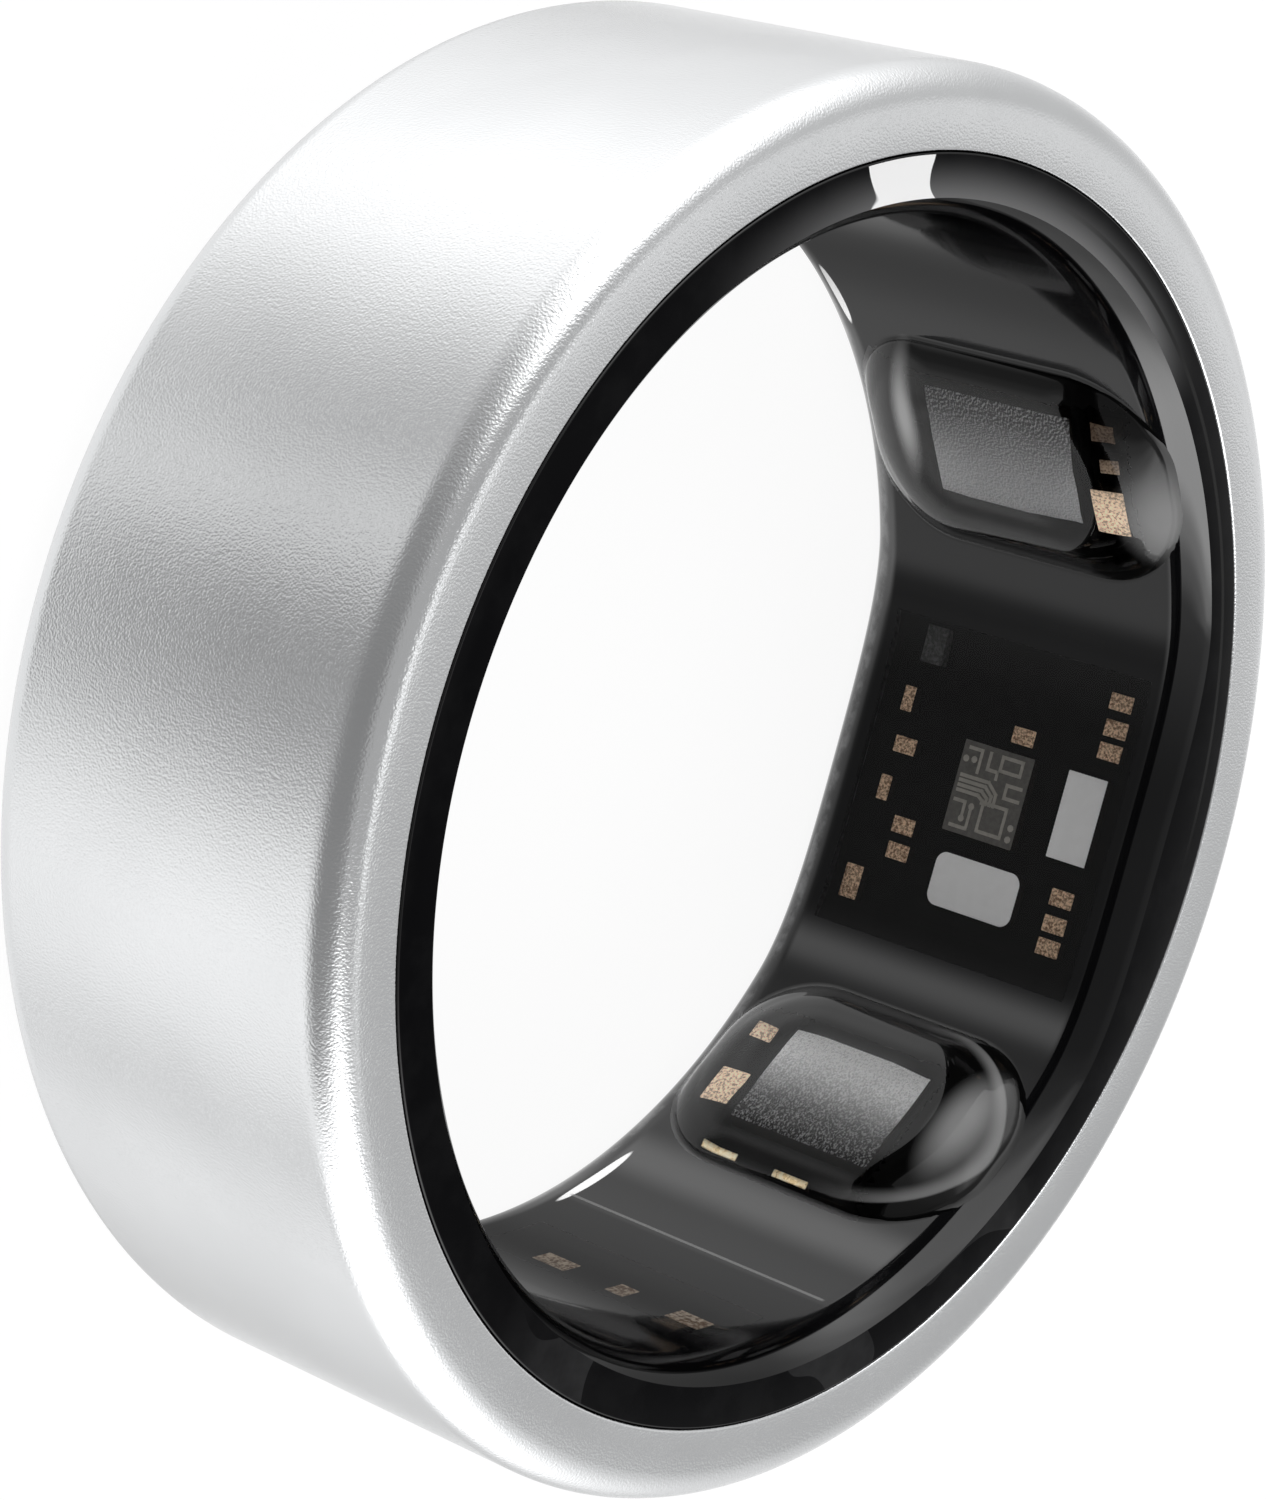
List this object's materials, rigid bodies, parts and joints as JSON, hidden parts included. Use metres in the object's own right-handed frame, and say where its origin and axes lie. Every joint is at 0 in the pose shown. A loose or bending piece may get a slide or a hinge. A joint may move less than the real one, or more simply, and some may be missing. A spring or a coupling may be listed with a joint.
{
  "type": "smart ring",
  "caption": "Smart ring: metal band over a dark resin liner with a flat circuit window, two clear sensor domes and sealed electronics.",
  "frame": {"origin": "centre of the finger bore, halfway across the ring's width", "axes": "+Z along the finger, so the ring lies on one side face; +X close to the flat circuit window, which faces 6.5 degrees below +X; +Y towards the upper dome"},
  "size_m": [0.0249, 0.0248, 0.0078],
  "materials": {
    "shell_metal": "bead-blasted satin",
    "liner_resin": "glossy smoked resin",
    "dome_resin": "polished clear resin",
    "board_black": "black solder mask",
    "chip_black": "matt moulding compound",
    "radio_die": "bare die with tracks under resin",
    "can_silver": "fine brushed lid",
    "copper_contact": "grained copper",
    "gold_bar": "bright gold plate",
    "sensor_grain": "fine leather-like grain",
    "barrier_black": "matt black",
    "led_die": "bare diode",
    "flex_amber": "amber polyimide",
    "battery_foil": "laminated foil",
    "tab_nickel": "nickel strip",
    "adhesive_film": "double-sided film",
    "insulator": "black film",
    "coil_copper": "enamelled copper",
    "ferrite": "sintered sheet"
  },
  "bodies": {
    "root": {"outer_shell": "shell_metal", "inner_liner": "liner_resin", "upper_dome_lens": "dome_resin", "lower_dome_lens": "dome_resin", "main_board": "board_black", "radio_chip": "radio_die", "crystal_can": "can_silver", "clock_can": "can_silver", "chip_capacitors": "copper_contact", "chip_resistors": "copper_contact", "storage_capacitor": "copper_contact", "temperature_sensor": "chip_black", "upper_sensor_board": "board_black", "lower_sensor_board": "board_black", "upper_photodiode": "sensor_grain", "lower_photodiode": "sensor_grain", "upper_light_barriers": "barrier_black", "lower_light_barriers": "barrier_black", "upper_leds": "led_die", "lower_leds": "led_die", "upper_contacts": "copper_contact", "lower_contacts": "copper_contact", "terminal_bars": "gold_bar", "power_board": "board_black", "power_contacts": "copper_contact", "flex_upper": "flex_amber", "flex_lower": "flex_amber", "flex_power": "flex_amber", "flex_tail": "flex_amber", "antenna_strip": "flex_amber", "optical_driver_chip": "chip_black", "power_chip": "chip_black", "motion_sensor": "chip_black", "memory_chip": "chip_black", "power_inductor": "ferrite", "protection_chip": "chip_black", "battery_cell": "battery_foil", "battery_tabs": "tab_nickel", "battery_adhesive": "adhesive_film", "insulating_film": "insulator", "charging_coil": "coil_copper", "ferrite_sheet": "ferrite"}
  },
  "joints": []
}
